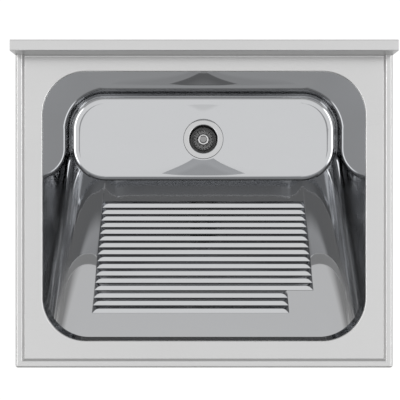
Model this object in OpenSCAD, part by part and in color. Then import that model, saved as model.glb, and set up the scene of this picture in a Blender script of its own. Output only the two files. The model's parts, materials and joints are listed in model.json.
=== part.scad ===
// Stainless steel laundry sink: a folded deck with a raised rim and a splashback,
// a deep polished bowl with a pressed washboard, and a basket waste.
// Millimetres. X runs to the right, Y to the wall behind, Z up.
// The origin is the centre of the four cabinet fixing holes, on the plane that the sink rests on.

/* [Deck] */
// Width of the deck, left to right
deck_w = 700; // [680:5:900]
// Depth of the deck, front to wall
deck_d = 600; // [590:5:720]
// Height of the rim above the plane that the sink rests on
rim_h = 45; // [40:1:80]
// Height of the rim above the deck
rim_step = 5; // [3:0.5:8]
// Width of the rim's level top
rim_flat = 10; // [7:0.5:12]
// Width of the slope from the rim down to the deck
rim_slope = 8; // [3:0.5:10]
// Thickness of the deck and splashback sheet
deck_t = 1.2; // [0.8:0.1:2]
// Width of the return flange under the skirt
flange_w = 20; // [18:1:24]
// Height of the deck's down-turned rear edge
rear_turn = 14; // [10:1:20]

/* [Splashback] */
// Thickness of the splashback, front to rear
splash_t = 20; // [14:1:24]
// Height of the splashback above the rim
splash_h = 37; // [20:1:80]

/* [Bowl] */
// Distance from the deck's sides to the bowl's opening
side_margin = 50; // [48:1:70]
// Distance from the deck's front and rear edges to the bowl's opening
end_margin = 50; // [48:1:70]
// Radius of the bowl's upright corners
bowl_r = 80; // [60:1:90]
// Depth of the bowl from the rim to the floor's edge
bowl_depth = 270; // [250:1:300]
// Radius between the walls and the floor
floor_r = 20; // [12:1:30]
// Lean of the bowl's walls, in degrees
draft = 0.3; // [0.2:0.1:1]
// Drop of the front wall from the rim to the ramp
front_drop = 42; // [30:1:60]
// Length of the floor from the rear wall to the foot of the ramp
floor_run = 189; // [170:1:210]
// Thickness of the bowl sheet
bowl_t = 1; // [0.8:0.1:1.5]
// Width of the bowl's flange under the deck
bowl_lip = 12; // [8:1:14]
// Fall of the floor from its edge to the drain
floor_fall = 13; // [4:0.5:14]

/* [Washboard] */
// Number of ribs
rib_count = 16; // [10:1:16]
// Number of short ribs at the front
short_ribs = 3; // [1:1:5]
// Part of the distance between ribs that a tread takes up
tread_part = 0.67; // [0.55:0.01:0.75]
// Fall of a tread towards the drain, in degrees
tread_fall = 6; // [0:0.5:10]
// Distance from the bowl's sides to the ends of the long ribs
rib_side = 81.5; // [79:0.5:120]
// How much shorter the short ribs are, at their right end
rib_cut = 52; // [20:1:100]
// Distance from the bowl's front edge to the first rib
rib_setback = 41; // [36:1:60]
// Level distance from the last rib to the foot of the ramp
rib_foot = 48; // [30:1:70]
// Run of the sloped ends of a rib
rib_bevel = 9; // [4:0.5:10]

/* [Stiffeners] */
// Width of the side and front stiffeners
stiff_w = 20; // [14:1:20]
// Width of the rear stiffener
rear_stiff_w = 13; // [9:0.5:14]
// Height of the stiffeners
stiff_h = 16; // [10:1:24]
// Thickness of the stiffener sheet
stiff_t = 1.5; // [1:0.1:2]
// How far the stiffeners end short of the bowl's corners
stiff_short = 30; // [10:5:60]
// Gap between a stiffener and the bowl's flange
stiff_gap = 2; // [1:0.5:3]
// Length of the sound pads
pad_len = 160; // [100:5:200]
// Height of the sound pads
pad_h = 120; // [80:5:150]
// Thickness of the sound pads
pad_t = 2.5; // [1.5:0.5:4]
// Distance from the deck down to the middle of the sound pads
pad_drop = 110; // [90:5:130]

/* [Fixings] */
// Diameter of the cabinet fixing holes
fix_d = 5.5; // [4:0.5:7]
// Distance from the deck's front and rear edges to the fixing holes
fix_end = 70; // [50:5:120]
// Diameter of the earth tag's hole
tag_hole_d = 5.2; // [4:0.1:6]
// Width of the earth tag
tag_w = 14; // [12:1:20]
// Length of the earth tag's leg
tag_len = 18; // [15:1:24]
// Thickness of the earth tag
tag_t = 1.5; // [1:0.1:2]

/* [Waste] */
// Distance from the bowl's rear edge to the middle of the drain
drain_back = 100; // [90:1:110]
// Diameter of the waste's flange
waste_flange_d = 90; // [84:1:96]
// Thickness of the waste's flange
waste_flange_t = 1.5; // [1:0.1:2]
// Bore of the waste's cup
cup_bore = 62.6; // [60:0.2:66]
// Wall of the waste's cup
cup_wall = 1.2; // [1:0.1:1.6]
// Depth of the cup below the waste's flange
cup_depth = 36; // [34:1:46]
// Bore of the outlet below the cup
outlet_bore = 38; // [34:1:40]
// Wall of the threaded outlet
outlet_wall = 3.5; // [2.5:0.5:4]
// Length of the threaded outlet below the cup
outlet_len = 20; // [18:1:26]
// Thickness of the gasket between the flange and the bowl
top_gasket_t = 1; // [0.5:0.1:2]
// Thickness of the gasket below the bowl
low_gasket_t = 3; // [2:0.5:5]
// Thickness of the friction washer
friction_t = 1; // [0.5:0.1:2]
// Diameter of the lock nut without its lugs
lock_nut_d = 84; // [80:1:90]
// Height of the lock nut
lock_nut_h = 12; // [8:1:14]
// Number of lugs on the lock nut
lug_count = 8; // [4:1:12]
// How far a lug stands out
lug_out = 4; // [2:0.5:6]

/* [Tailpiece] */
// Outer diameter of the tailpiece
tail_d = 40; // [38:1:40]
// Wall of the tailpiece
tail_wall = 1.5; // [1:0.1:2.5]
// Length of tailpiece that shows below the union nut
tail_show = 57; // [40:1:120]
// Length of the tailpiece's groove below the union nut
tail_groove = 2; // [1:0.5:5]
// Depth of the tailpiece's groove
groove_depth = 0.5; // [0.2:0.1:0.8]
// Thickness of the gasket between the outlet and the tailpiece
tail_gasket_t = 2; // [1.5:0.5:4]
// Thickness of the tailpiece's collar
tail_collar_t = 2; // [1.5:0.5:4]
// Height of the union nut
union_h = 22; // [18:1:26]
// Wall of the union nut
union_wall = 4; // [3:0.5:6]
// Number of grip ribs on the union nut
grip_count = 12; // [8:1:20]

/* [Basket] */
// Diameter of the strainer basket
basket_d = 48; // [44:1:54]
// Height of the strainer basket
basket_h = 12; // [8:1:14]
// Sheet of the strainer basket
basket_t = 1; // [0.6:0.1:1.5]
// Diameter of the holes in the basket's floor
perf_d = 3; // [2:0.5:3.5]
// Number of holes in the basket's outer ring
perf_count = 20; // [12:1:20]
// Diameter of the stem
stem_d = 6; // [5:0.5:8]
// Diameter of the knob
knob_d = 25; // [20:1:28]
// Height of the knob
knob_h = 9; // [6:1:12]
// Diameter of the dish in the knob's top
knob_dish_d = 16; // [12:1:18]
// Depth of the dish in the knob's top
knob_dish = 3; // [2:0.5:5]
// Height of the knob's bottom above the basket's floor
knob_rise = 10; // [6:1:14]
// Thickness of the rubber stopper
stopper_t = 4; // [3:0.5:6]
// Thickness of the hub in the outlet
hub_t = 4; // [3:0.5:6]
// Diameter of the hub in the outlet
hub_d = 12; // [10:1:14]
// Width of the hub's arms
arm_w = 3; // [2:0.5:4]

/* [Hidden] */

// Smoothness of large and small round surfaces
big_fn = 48;
small_fn = 24;
round_fn = 96;
// A cut runs this far past the surface that it opens
over = 1;
// Thickness of the plates that a blended shape is spanned from
skin = 0.01;
// Gap left between pieces that move or are only loosely seated
seat_gap = 0.3;
// Radial gap of a shaft that turns or slides in a hole
run_gap = 0.05;
// Radial gap round a pipe or a threaded body
pipe_gap = 0.3;

// Heights
z_rim = rim_h;
z_deck = z_rim - rim_step;
z_under = z_deck - deck_t;
z_splash = z_rim + splash_h;
z_floor = z_rim - bowl_depth;
z_drain = z_floor - floor_fall;
z_front = z_rim - front_drop;

// Deck
front_y = -deck_d / 2;
wall_y = deck_d / 2;
splash_y = wall_y - splash_t;
rim_w = rim_flat + rim_slope;
rim_turn = atan(rim_step / rim_slope);
fix_x = deck_w / 2 - 0.6 * flange_w;
fix_span = deck_d - 2 * fix_end;

// Bowl: half sizes of the opening and of the floor's outline
bowl_w = deck_w - 2 * side_margin;
bowl_d = deck_d - 2 * end_margin;
mouth_x = bowl_w / 2;
mouth_y = bowl_d / 2;
drop_in = front_drop * tan(draft);
floor_in = bowl_depth * tan(draft);
floor_x = mouth_x - floor_in;
floor_back = mouth_y - floor_in;
// Where the ramp's plane meets the floor, its slope, and the middle of the bend at its foot
ramp_foot = floor_back - floor_run;
ramp_run = ramp_foot + mouth_y - drop_in;
ramp_angle = atan((bowl_depth - front_drop) / ramp_run);
bend_y = ramp_foot + floor_r * tan(ramp_angle / 2);
// The floor's slope starts this far behind the bend
slope_in = 7;
slope_r = bowl_r - floor_r - 0.5;
seat_r = waste_flange_d / 2 + 2;
drain_y = mouth_y - drain_back;

// Washboard
tooth_front = -mouth_y + rib_setback;
rib_len = bowl_w - 2 * rib_side;
rib_pitch = (ramp_foot - rib_foot - tooth_front) / rib_count;
tread_run = tread_part * rib_pitch;
// The valleys between the ribs stay this far above the ramp
valley = 0.4;
board_sink = 0.6;
rib_rise = (tread_run * (tan(ramp_angle) - tan(tread_fall)) + valley) * cos(ramp_angle);

// Waste
z_flange = z_drain + top_gasket_t;
z_flange_top = z_flange + waste_flange_t;
z_cup = z_flange_top - cup_depth;
z_outlet = z_cup - cup_wall - outlet_len;
cup_r = cup_bore / 2;
cup_out = cup_r + cup_wall;
outlet_r = outlet_bore / 2;
outlet_out = outlet_r + outlet_wall;
hole_r = cup_out + pipe_gap;
gasket_out = waste_flange_d / 2 - 1;
z_low_gasket = z_drain - bowl_t - low_gasket_t;
z_friction = z_low_gasket - friction_t;
z_lock = z_friction - lock_nut_h;

// Tailpiece
z_tail_gasket = z_outlet - tail_gasket_t;
z_collar = z_tail_gasket - tail_collar_t;
tail_r = tail_d / 2;
union_lip = 3;
z_union = z_collar - union_lip;
z_tail_end = z_union - tail_show;

// Basket
stem_r = stem_d / 2;
basket_r = basket_d / 2;
z_seat = z_cup + seat_gap;
z_basket = z_seat + stopper_t + seat_gap;
z_basket_floor = z_basket + basket_t;
washer_t = 1;
washer_r = stem_r + 4;
z_washer = z_basket_floor + seat_gap;
z_knob = z_basket_floor + knob_rise;
z_knob_top = z_knob + knob_h;
z_hub = z_cup - cup_wall - 10;
stem_below = 6;
z_stem = z_hub - stem_below;
clip_t = 1;
stopper_r = outlet_r + 3;
perf_ring = basket_r - basket_t - perf_d;
inner_ring = (perf_ring + washer_r) / 2 + 0.5;

function ramp_z(y) = z_front - (y + mouth_y - drop_in) * tan(ramp_angle);
function offset_turn(t) = t * tan(rim_turn / 2);

module drain_axis() {
    translate([0, drain_y, 0])
        children();
}

// A ring about the drain's axis, from radius r_in to r_out
module drain_ring(r_in, r_out, z, h) {
    drain_axis()
        translate([0, 0, z])
            difference() {
                cylinder(r = r_out, h = h, $fn = round_fn);
                translate([0, 0, -over])
                    cylinder(r = r_in, h = h + 2 * over, $fn = round_fn);
            }
}

// A box between two corners
module span_box(low, high) {
    translate(low)
        cube(high - low);
}

// The space above the deck inside the rim; grow is the sheet under it
module deck_tray(grow) {
    side = offset_turn(grow);
    x_low = deck_w / 2 - rim_w + side;
    y_low = front_y + rim_w - side;
    x_high = x_low + rim_slope * (1 + (grow + over) / rim_step);
    y_high = y_low - rim_slope * (1 + (grow + over) / rim_step);
    z_low = z_deck - grow;
    z_high = z_rim + over;
    back = wall_y + over;
    hull() {
        span_box([-x_low, y_low, z_low], [x_low, back, z_low + skin]);
        span_box([-x_high, y_high, z_high], [x_high, back, z_high + skin]);
    }
}

// An upright block with rounded corners, grown by g
module mouth_block(g, z, h) {
    x = mouth_x - bowl_r;
    y = mouth_y - bowl_r;
    translate([0, 0, z]) {
        span_box([-x, -y - bowl_r - g, 0], [x, y + bowl_r + g, h]);
        span_box([-x - bowl_r - g, -y, 0], [x + bowl_r + g, y, h]);
        for (sx = [-1, 1], sy = [-1, 1])
            translate([sx * x, sy * y, 0])
                cylinder(r = bowl_r + g, h = h, $fn = round_fn);
    }
}

module deck_panel() {
    side = deck_w / 2;
    color("gainsboro")
        difference() {
            span_box([-side, front_y, 0], [side, splash_y, z_rim]);
            deck_tray(0);
            difference() {
                span_box([-side + deck_t, front_y + deck_t, deck_t], [side - deck_t, splash_y + over, z_rim - deck_t]);
                deck_tray(deck_t);
                span_box([-side + rim_w, splash_y - deck_t, z_deck - rear_turn], [side - rim_w, splash_y, z_deck]);
            }
            span_box([-side + flange_w, front_y + flange_w, -over], [side - flange_w, splash_y + over, deck_t + over]);
            mouth_block(0, z_under - over, deck_t + 2 * over);
            for (sx = [-1, 1], sy = [-1, 1])
                translate([sx * fix_x, sy * fix_span / 2, -over])
                    cylinder(d = fix_d, h = deck_t + 2 * over, $fn = small_fn);
        }
}

module splashback() {
    side = deck_w / 2 - deck_t;
    color("silver")
        difference() {
            span_box([-side, splash_y, 0], [side, wall_y, z_splash]);
            span_box([-side - over, splash_y + deck_t, deck_t], [side + over, wall_y - deck_t, z_splash - deck_t]);
            span_box([-side - over, splash_y - over, deck_t], [side + over, splash_y + 2 * deck_t, z_deck - rear_turn]);
        }
}

module end_cap(sx) {
    color("silver")
        translate([sx > 0 ? deck_w / 2 - deck_t : -deck_w / 2, splash_y, 0])
            cube([deck_t, splash_t, z_splash]);
}

// One corner of the bend between the walls and the floor
module bend_corner(x, y, g) {
    translate([x, y, z_floor + floor_r])
        rotate_extrude($fn = big_fn)
            translate([bowl_r - floor_r, 0])
                circle(r = floor_r + g, $fn = small_fn);
}

// The bowl's main hollow, grown by g for its outside
module bowl_form(g) {
    x = mouth_x - bowl_r;
    y = mouth_y - bowl_r;
    low_x = floor_x - bowl_r;
    low_back = floor_back - bowl_r;
    low_front = bend_y + bowl_r - floor_r;
    turn = g * (1 - sin(ramp_angle)) / cos(ramp_angle);
    hull() {
        for (sx = [-1, 1], sy = [-1, 1])
            translate([sx * x, sy * y, z_under - skin])
                cylinder(r = bowl_r + g, h = g > 0 ? skin : over, $fn = big_fn);
        for (sx = [-1, 1])
            translate([sx * (x - drop_in), -y + drop_in, z_front - turn])
                cylinder(r = bowl_r + g, h = skin, $fn = big_fn);
        for (sx = [-1, 1]) {
            bend_corner(sx * low_x, low_back, g);
            bend_corner(sx * low_x, low_front, g);
        }
    }
}

// The sloped floor that leads to the drain, grown by g for its outside
module floor_form(g) {
    low_x = floor_x - bowl_r;
    low_back = floor_back - bowl_r;
    low_front = bend_y + bowl_r - floor_r + slope_in;
    hull() {
        for (sx = [-1, 1], y = [low_front, low_back])
            translate([sx * low_x, y, z_floor])
                cylinder(r = slope_r + g, h = skin, $fn = big_fn);
        drain_axis()
            translate([0, 0, z_drain - g])
                cylinder(r = seat_r, h = skin, $fn = big_fn);
    }
}

// A saw-toothed block for the ribs numbered from first to last, first being next to the front wall
module rib_teeth(first, last, x_left, x_right) {
    teeth = [for (k = [first:last]) each [
        [tooth_front + k * rib_pitch, ramp_z(tooth_front + k * rib_pitch) + valley],
        [tooth_front + k * rib_pitch + tread_run,
            ramp_z(tooth_front + k * rib_pitch) + valley - tread_run * tan(tread_fall)]]];
    y_end = tooth_front + (last + 1) * rib_pitch;
    y_start = tooth_front + first * rib_pitch;
    outline = concat(teeth, [
        [y_end, ramp_z(y_end) + valley],
        [y_end, ramp_z(y_end) - board_sink],
        [y_start, ramp_z(y_start) - board_sink]]);
    translate([x_left, 0, 0])
        rotate([90, 0, 90])
            linear_extrude(height = x_right - x_left)
                polygon(outline);
}

// A bar along the ramp whose ends slope inwards towards the top of the ribs
module rib_ends(x_left, x_right) {
    half = (bowl_depth - front_drop) / sin(ramp_angle);
    top = 2 * rib_rise;
    slope = rib_bevel / rib_rise;
    translate([0, -mouth_y + drop_in, z_front])
        rotate([-ramp_angle, 0, 0])
            rotate([90, 0, 180])
                linear_extrude(height = 2 * half, center = true)
                    polygon([
                        [-x_right - slope * rib_rise, -rib_rise],
                        [-x_left + slope * rib_rise, -rib_rise],
                        [-x_left - slope * top, top],
                        [-x_right + slope * top, top]]);
}

module washboard() {
    left = -rib_len / 2;
    right = rib_len / 2;
    intersection() {
        rib_teeth(short_ribs, rib_count - 1, left - over, right + over);
        rib_ends(left, right);
    }
    intersection() {
        rib_teeth(0, short_ribs, left - over, right + over);
        rib_ends(left, right - rib_cut);
    }
}

module bowl() {
    lip = bowl_lip;
    color("lightgray")
        difference() {
            union() {
                bowl_form(bowl_t);
                floor_form(bowl_t);
                mouth_block(lip, z_under - bowl_t, bowl_t);
            }
            difference() {
                union() {
                    bowl_form(0);
                    floor_form(0);
                }
                washboard();
            }
            translate([0, -bowl_t * sin(ramp_angle), -bowl_t * cos(ramp_angle)])
                washboard();
            drain_axis()
                translate([0, 0, z_drain - bowl_t - over])
                    cylinder(r = hole_r, h = bowl_t + 2 * over, $fn = round_fn);
        }
}

// A channel with its web against the deck
module channel(x_size, y_size, along_x) {
    inner_x = along_x ? x_size + 2 * over : x_size - 2 * stiff_t;
    inner_y = along_x ? y_size - 2 * stiff_t : y_size + 2 * over;
    color("darkgray")
        difference() {
            translate([-x_size / 2, -y_size / 2, z_under - stiff_h])
                cube([x_size, y_size, stiff_h]);
            translate([-inner_x / 2, -inner_y / 2, z_under - stiff_h - over])
                cube([inner_x, inner_y, stiff_h - stiff_t + over]);
        }
}

module side_stiffener(sx) {
    x = mouth_x + bowl_lip + stiff_gap + stiff_w / 2;
    translate([sx * x, 0, 0])
        channel(stiff_w, bowl_d - 2 * stiff_short, false);
}

module stiffener_front() {
    y = mouth_y + bowl_lip + stiff_gap + stiff_w / 2;
    translate([0, -y, 0])
        channel(bowl_w - 2 * stiff_short, stiff_w, true);
}

module stiffener_rear() {
    y = mouth_y + bowl_lip + stiff_gap + rear_stiff_w / 2;
    translate([0, y, 0])
        channel(bowl_w - 2 * stiff_short, rear_stiff_w, true);
}

module sound_pad(sx) {
    lean = pad_drop * tan(draft);
    x = mouth_x + bowl_t / cos(draft) - lean + seat_gap;
    color("dimgray")
        translate([sx * x, mouth_y / 3, z_deck - pad_drop + (z_rim - z_deck)])
            rotate([0, sx * draft, 0])
                translate([sx > 0 ? 0 : -pad_t, -pad_len / 2, -pad_h / 2])
                    cube([pad_t, pad_len, pad_h]);
}

// A small angle on the front stiffener's leg, with a hole for the earth wire
module earth_tag() {
    y = -(mouth_y + bowl_lip + stiff_gap + stiff_w);
    z = z_under - stiff_h;
    x = mouth_x - bowl_r;
    color("goldenrod")
        difference() {
            translate([x, 0, 0])
                union() {
                    span_box([0, y, z - tag_t], [tag_w, y + stiff_w, z]);
                    span_box([0, y + stiff_w - tag_t, z - tag_len], [tag_w, y + stiff_w, z]);
                }
            translate([x + tag_w / 2, y + stiff_w + over, z - tag_len + tag_w / 2])
                rotate([90, 0, 0])
                    cylinder(d = tag_hole_d, h = tag_t + 2 * over, $fn = small_fn);
        }
}

module waste_body() {
    flange_r = waste_flange_d / 2;
    edge = waste_flange_t / 2;
    color("whitesmoke")
        drain_axis()
            rotate_extrude($fn = round_fn)
                polygon([
                    [cup_r, z_flange_top],
                    [flange_r - edge, z_flange_top],
                    [flange_r, z_flange_top - edge],
                    [flange_r, z_flange],
                    [cup_out, z_flange],
                    [cup_out, z_cup - cup_wall],
                    [outlet_out, z_cup - cup_wall],
                    [outlet_out, z_outlet],
                    [outlet_r, z_outlet],
                    [outlet_r, z_cup],
                    [cup_r, z_cup]]);
}

module flange_gasket() {
    color("black")
        drain_ring(hole_r, gasket_out, z_drain, top_gasket_t);
}

module lower_gasket() {
    color("black")
        drain_ring(cup_out, gasket_out, z_low_gasket, low_gasket_t);
}

module friction_washer() {
    color("ivory")
        drain_ring(cup_out + pipe_gap, gasket_out, z_friction, friction_t);
}

module lock_nut() {
    r = lock_nut_d / 2;
    color("dimgray")
        drain_axis()
            translate([0, 0, z_lock])
                linear_extrude(height = lock_nut_h)
                    difference() {
                        union() {
                            circle(r = r, $fn = round_fn);
                            for (k = [0:lug_count - 1])
                                rotate(k * 360 / lug_count)
                                    translate([r - over, -lug_out])
                                        square([lug_out + over, 2 * lug_out]);
                        }
                        circle(r = cup_out, $fn = round_fn);
                    }
}

// Three arms in the outlet that carry the hub which guides the stem
module outlet_hub() {
    color("silver")
        drain_axis()
            translate([0, 0, z_hub])
                linear_extrude(height = hub_t)
                    difference() {
                        union() {
                            circle(d = hub_d, $fn = round_fn);
                            for (k = [0:2])
                                rotate(90 + k * 120)
                                    translate([0, -arm_w / 2])
                                        square([outlet_r - 1, arm_w]);
                            difference() {
                                circle(r = outlet_r, $fn = round_fn);
                                circle(r = outlet_r - 1.5, $fn = round_fn);
                            }
                        }
                        circle(r = stem_r + run_gap, $fn = round_fn);
                    }
}

module tail_gasket() {
    color("black")
        drain_ring(outlet_r, outlet_out, z_tail_gasket, tail_gasket_t);
}

module tailpiece() {
    color("whitesmoke")
        drain_axis()
            rotate_extrude($fn = round_fn)
                polygon([
                    [tail_r - tail_wall, z_tail_gasket],
                    [outlet_out, z_tail_gasket],
                    [outlet_out, z_collar],
                    [tail_r - groove_depth, z_collar],
                    [tail_r - groove_depth, z_union - tail_groove],
                    [tail_r, z_union - tail_groove],
                    [tail_r, z_tail_end],
                    [tail_r - tail_wall, z_tail_end]]);
}

module union_nut() {
    inner = outlet_out + run_gap;
    outer = inner + union_wall;
    color("dimgray")
        drain_axis()
            difference() {
                union() {
                    translate([0, 0, z_union])
                        cylinder(r = outer, h = union_h, $fn = round_fn);
                    for (k = [0:grip_count - 1])
                        rotate(k * 360 / grip_count)
                            translate([outer - over, -1.5, z_union])
                                cube([over + 1.5, 3, union_h]);
                }
                translate([0, 0, z_union - over])
                    cylinder(r = tail_r + pipe_gap, h = union_h, $fn = round_fn);
                translate([0, 0, z_collar])
                    cylinder(r = inner, h = union_h, $fn = round_fn);
            }
}

module strainer_basket() {
    color("silver")
        drain_axis()
            difference() {
                rotate_extrude($fn = round_fn)
                    polygon([
                        [stem_r + run_gap, z_basket],
                        [basket_r - 1, z_basket],
                        [basket_r, z_basket + 1],
                        [basket_r, z_basket + basket_h],
                        [basket_r - basket_t, z_basket + basket_h],
                        [basket_r - basket_t, z_basket_floor],
                        [stem_r + run_gap, z_basket_floor]]);
                for (k = [0:perf_count - 1])
                    rotate(k * 360 / perf_count)
                        translate([perf_ring, 0, z_basket - over])
                            cylinder(d = perf_d, h = basket_t + 2 * over, $fn = small_fn);
                for (k = [0:perf_count / 2 - 1])
                    rotate((k + 0.5) * 720 / perf_count)
                        translate([inner_ring, 0, z_basket - over])
                            cylinder(d = perf_d, h = basket_t + 2 * over, $fn = small_fn);
            }
}

module basket_washer() {
    color("silver")
        drain_ring(stem_r, washer_r, z_washer, washer_t);
}

module stem() {
    color("silver")
        drain_axis()
            translate([0, 0, z_stem])
                cylinder(r = stem_r, h = z_knob - z_stem, $fn = round_fn);
}

module knob() {
    r = knob_d / 2;
    dish_r = knob_dish_d / 2;
    color("whitesmoke")
        drain_axis()
            rotate_extrude($fn = round_fn)
                polygon([
                    [0, z_knob],
                    [r - 2, z_knob],
                    [r, z_knob + 2],
                    [r, z_knob_top - 1],
                    [r - 1, z_knob_top],
                    [dish_r + 1, z_knob_top],
                    [dish_r, z_knob_top - 1],
                    [dish_r - 1, z_knob_top - knob_dish],
                    [0, z_knob_top - knob_dish]]);
}

module stopper() {
    color("black")
        drain_ring(stem_r, stopper_r, z_seat, stopper_t);
}

// A clip in the stem's groove that holds the stopper up
module stem_clip() {
    color("silver")
        drain_ring(stem_r, stem_r + 3, z_seat - clip_t, clip_t);
}

deck_panel();
splashback();
end_cap(-1);  // end_cap_left
end_cap(1);  // end_cap_right
bowl();
stiffener_front();
stiffener_rear();
side_stiffener(-1);  // stiffener_left
side_stiffener(1);  // stiffener_right
sound_pad(-1);  // sound_pad_left
sound_pad(1);  // sound_pad_right
earth_tag();
waste_body();
flange_gasket();
lower_gasket();
friction_washer();
lock_nut();
outlet_hub();
tail_gasket();
tailpiece();
union_nut();
strainer_basket();
basket_washer();
stem();
knob();
stopper();
stem_clip();
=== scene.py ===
# %% [markdown]
# # A stainless laundry sink, dressed around its solid model
# The sink is a folded deck with a raised rim and a low splashback, a deep mirror-polished
# bowl whose sloping front is a washboard, and a basket waste with a pull-up knob.
# The solid model is loaded as a fixed frame. The pieces whose bends and finish are seen are
# rebuilt where their solids are, and the others, such as nuts and gaskets, stay solids.

# %% Load the frame
import bpy
import json
import math
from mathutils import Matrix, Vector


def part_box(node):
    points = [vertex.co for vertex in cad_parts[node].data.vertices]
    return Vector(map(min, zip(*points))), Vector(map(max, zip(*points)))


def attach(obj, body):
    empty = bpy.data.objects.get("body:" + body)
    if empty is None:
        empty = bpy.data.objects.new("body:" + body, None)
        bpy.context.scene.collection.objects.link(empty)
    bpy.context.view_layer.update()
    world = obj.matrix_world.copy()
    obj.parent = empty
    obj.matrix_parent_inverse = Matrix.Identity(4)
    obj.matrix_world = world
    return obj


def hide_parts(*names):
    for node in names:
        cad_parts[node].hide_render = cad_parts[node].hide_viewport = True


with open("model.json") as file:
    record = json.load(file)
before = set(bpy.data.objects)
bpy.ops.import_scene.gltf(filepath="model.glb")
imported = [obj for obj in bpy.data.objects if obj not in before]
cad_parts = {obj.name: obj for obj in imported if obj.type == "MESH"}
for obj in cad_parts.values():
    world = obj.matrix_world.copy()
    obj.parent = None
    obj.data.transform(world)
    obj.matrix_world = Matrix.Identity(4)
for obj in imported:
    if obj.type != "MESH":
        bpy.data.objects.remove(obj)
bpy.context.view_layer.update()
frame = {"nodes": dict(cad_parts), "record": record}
print("nodes in the frame:", len(frame["nodes"]))

# %% [markdown]
# ## Sizes that the pieces share
# Most sizes are read off the solids, so that a changed solid changes the dressed piece too.
# Only what a plain box can't tell, such as a bend's radius, is written here as a number.
# Blender works in metres, so a length is given as so many MM. Places within TOUCH of each other
# count as the same, and what differs by more than CLOSE or LONG counts as apart.

# %% Sizes from the frame
MM = 0.001
TOUCH = 0.01 * MM
CLOSE = 0.1 * MM
LONG = 1.0 * MM
deck_low, deck_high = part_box("deck_panel")
splash_low, splash_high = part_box("splashback")
cap_low, cap_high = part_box("end_cap_right")
bowl_low, bowl_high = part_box("bowl")
waste_low, waste_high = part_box("waste_body")
knob_low, knob_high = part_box("knob")
basket_low, basket_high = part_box("strainer_basket")

SHEET = cap_high.x - cap_low.x
BOWL_SHEET = 1.0 * MM
BOWL_LIP = 12.0 * MM
RIM_STEP = 5.0 * MM
RIM_WIDTH = 18.0 * MM
RETURN_FLANGE = 20.0 * MM
deck_z = deck_high.z - RIM_STEP
half_w = bowl_high.x - BOWL_LIP
half_d = bowl_high.y - BOWL_LIP
drain_y = (waste_low.y + waste_high.y) / 2
print("bowl opening, mm:", round(2 * half_w / MM), "by", round(2 * half_d / MM))

# %% [markdown]
# ## Helpers for modelling as by hand
# An operator works on whatever is selected, so each helper first lets go of everything, as a
# hand does. A new piece gets its name, and its place goes into its mesh.

# %% Helpers for pieces
def let_go():
    """Leave edit mode and deselect every object."""
    if bpy.context.object and bpy.context.object.mode != "OBJECT":
        bpy.ops.object.mode_set(mode="OBJECT")
    bpy.ops.object.select_all(action="DESELECT")


def take(piece):
    """Make a piece the only selected one and the active one."""
    let_go()
    piece.select_set(True)
    bpy.context.view_layer.objects.active = piece


def named(name):
    """Name the piece that was just added, and put its place into its mesh."""
    piece = bpy.context.object
    piece.name = name
    piece.data.name = name
    bpy.ops.object.transform_apply(location=True, rotation=True, scale=True)
    return piece


print("a piece can be taken and named")

# %% [markdown]
# Faces and edges could be picked by their numbers, but these change with every edit. So they
# are picked by where they are and which way they look, which is also how a hand picks them.

# %% Helper for faces and edges
SQUARE = 0.9


def pick(piece, kind, test):
    """Select the faces or edges that pass the test, and stay in edit mode."""
    take(piece)
    bpy.ops.object.mode_set(mode="EDIT")
    bpy.ops.mesh.select_mode(type=kind)
    bpy.ops.mesh.select_all(action="DESELECT")
    bpy.ops.object.mode_set(mode="OBJECT")
    mesh = piece.data
    if kind == "FACE":
        found = [face for face in mesh.polygons if test(face.center, face.normal)]
    else:
        place = lambda edge: [mesh.vertices[i].co for i in edge.vertices]
        found = [edge for edge in mesh.edges if test(*place(edge))]
    for part in found:
        part.select = True
    bpy.ops.object.mode_set(mode="EDIT")
    return len(found)


def extrude(*move):
    """Draw new faces out of what is selected, by so far along each axis."""
    bpy.ops.mesh.extrude_region_move(TRANSFORM_OT_translate={"value": move})


print("a face looks straight along an axis above", SQUARE)

# %% [markdown]
# A modifier does in one step what takes a hand many, such as giving a sheet its thickness. It
# could stay live on the piece, but the next step needs the real mesh, so it is applied at once.

# %% Helpers for modifiers and joining
def finish_with(piece, kind, **settings):
    """Add a modifier, set it and apply it."""
    take(piece)
    bpy.ops.object.modifier_add(type=kind)
    modifier = piece.modifiers[-1]
    for key, value in settings.items():
        setattr(modifier, key, value)
    bpy.ops.object.modifier_apply(modifier=modifier.name)


def joined(pieces, name):
    """Join several pieces into the first."""
    take(pieces[0])
    for piece in pieces[1:]:
        piece.select_set(True)
    bpy.ops.object.join()
    pieces[0].name = name
    pieces[0].data.name = name
    return pieces[0]


print("modifiers are applied as soon as they are set")

# %% [markdown]
# ## The bowl
# The real bowl is pressed from one sheet: upright walls with wide corners, a ramp from a short
# drop at the front down to the floor, and a floor that falls gently to the drain. It could be
# made from a box with bevelled edges, but then the corners beside the ramp would come out wrong.
# Here its outline is spanned over rings instead: four at the mouth, two at the front drop and
# four rounded ones at the floor, wrapped by a convex hull as a sheet is stretched over a form.
# Each wall leans in a little, as it must to come out of the press.

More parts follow.
